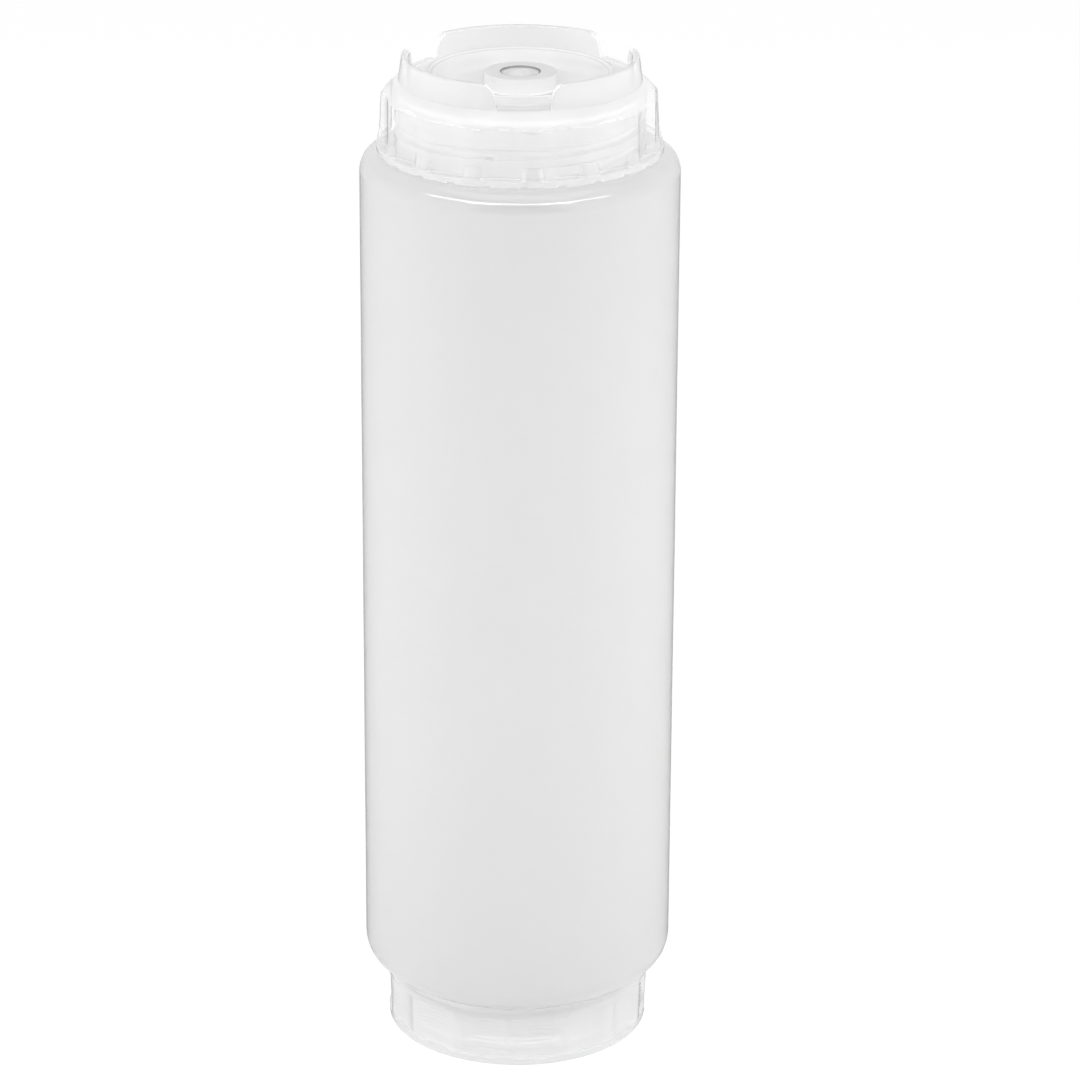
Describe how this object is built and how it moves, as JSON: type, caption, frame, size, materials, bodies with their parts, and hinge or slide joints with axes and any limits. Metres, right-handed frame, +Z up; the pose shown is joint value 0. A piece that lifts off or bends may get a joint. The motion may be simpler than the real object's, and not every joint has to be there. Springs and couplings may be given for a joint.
{
  "type": "condiment squeeze bottle",
  "caption": "Two-ended squeeze bottle for sauces: soft tube with a screw-on refill cap below and a screw-on valved dispensing cap with arched standing legs above.",
  "frame": {"origin": "centre of the foot ring of the refill cap, on the surface that the bottle stands on", "axes": "+Z up along the bottle's axis to the dispensing end; -Y is the front, where one of the openings between the legs faces"},
  "size_m": [0.07, 0.07, 0.229],
  "materials": {
    "body": "milky translucent soft polyethylene, satin",
    "cap": "natural clear polypropylene, glossy",
    "silicone": "clear silicone, satin",
    "retainer": "natural polypropylene, semi-gloss"
  },
  "bodies": {
    "bottle": {"bottle_body": "body"},
    "dispensing_seat": {"dispensing_seal": "silicone"},
    "dispensing_end": {"dispensing_cap": "cap", "dispensing_valve": "silicone", "valve_retainer": "retainer"},
    "refill_seat": {"refill_seal": "silicone"},
    "refill_end": {"refill_cap": "cap"}
  },
  "joints": [
    {"name": "dispensing_cap_rise", "type": "slide", "parent": "bottle", "child": "dispensing_seat", "axis": [0, 0, 1], "range_m": [0, 0.01261]},
    {"name": "dispensing_cap_turn", "type": "hinge", "parent": "dispensing_seat", "child": "dispensing_end", "pos_m": [0, 0, 0.20778], "axis": [0, 0, 1], "range_deg": [0, 1080]},
    {"name": "refill_cap_drop", "type": "slide", "parent": "bottle", "child": "refill_seat", "axis": [0, 0, -1], "range_m": [0, 0.01261]},
    {"name": "refill_cap_turn", "type": "hinge", "parent": "refill_seat", "child": "refill_end", "pos_m": [0, 0, 0.01478], "axis": [0, 0, -1], "range_deg": [0, 1080]}
  ],
  "couplings": [
    {"joint": "dispensing_cap_rise", "follows": "dispensing_cap_turn", "m_per_rad": 0.00066845},
    {"joint": "refill_cap_drop", "follows": "refill_cap_turn", "m_per_rad": 0.00066845}
  ]
}
